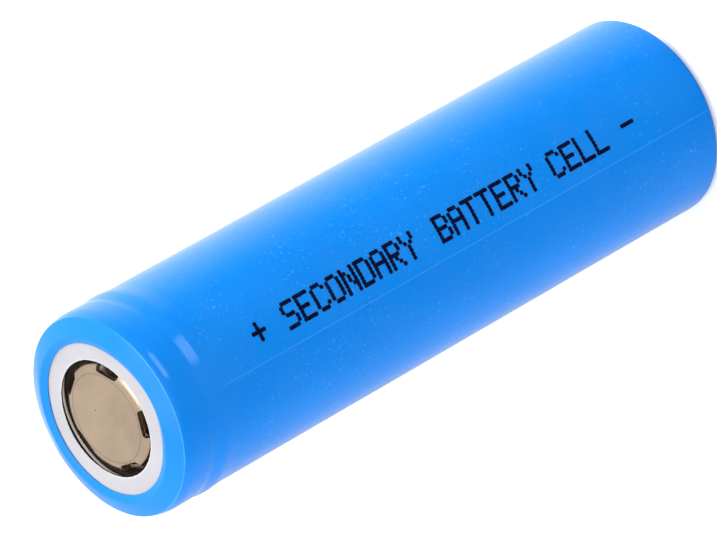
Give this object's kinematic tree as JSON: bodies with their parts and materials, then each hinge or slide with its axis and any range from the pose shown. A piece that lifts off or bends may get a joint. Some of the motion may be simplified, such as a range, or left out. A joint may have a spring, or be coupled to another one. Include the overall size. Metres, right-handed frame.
{
  "type": "cylindrical battery cell",
  "caption": "Cylindrical rechargeable cell with a shrink sleeve, a raised vented cap at the positive end and a flat negative end, which stores and delivers power.",
  "frame": {"origin": "on the axis of the cell, on the surface that it stands on with its negative end down", "axes": "+Z along the axis from the negative terminal to the positive terminal, -Y towards the printed side"},
  "size_m": [0.0184, 0.0184, 0.065],
  "materials": {
    "sleeve_film": "gloss",
    "washer_board": "satin",
    "can_steel": "satin",
    "gasket_plastic": "satin",
    "cap_nickel": "satin",
    "ptc_polymer": "matte",
    "vent_aluminium": "satin",
    "insulator_plastic": "satin",
    "insulator_board": "matte",
    "tab_aluminium": "satin",
    "tab_nickel": "satin",
    "tape_amber": "gloss",
    "tape_green": "satin",
    "cathode_coating": "matte",
    "anode_coating": "matte",
    "separator_film": "satin",
    "pin_steel": "satin"
  },
  "bodies": {
    "cell": {"outer_sleeve": "sleeve_film", "insulating_washer": "washer_board", "can": "can_steel", "seal_gasket": "gasket_plastic", "positive_cap": "cap_nickel", "ptc_ring": "ptc_polymer", "vent_disc": "vent_aluminium", "cid_insulator": "insulator_plastic", "cid_plate": "vent_aluminium", "positive_tab": "tab_aluminium", "positive_tab_tape": "tape_amber", "top_insulator": "insulator_board", "bottom_insulator": "insulator_board", "cathode_strip": "cathode_coating", "anode_strip": "anode_coating", "inner_separator": "separator_film", "outer_separator": "separator_film", "closing_tape": "tape_green", "centre_pin": "pin_steel", "negative_tab": "tab_nickel", "negative_tab_tape": "tape_amber"},
    "vent_diaphragm": {"vent_diaphragm": "vent_aluminium"}
  },
  "joints": [
    {"name": "vent_lift", "type": "slide", "parent": "cell", "child": "vent_diaphragm", "axis": [0, 0, 1], "range_m": [0, 0.0006]}
  ]
}
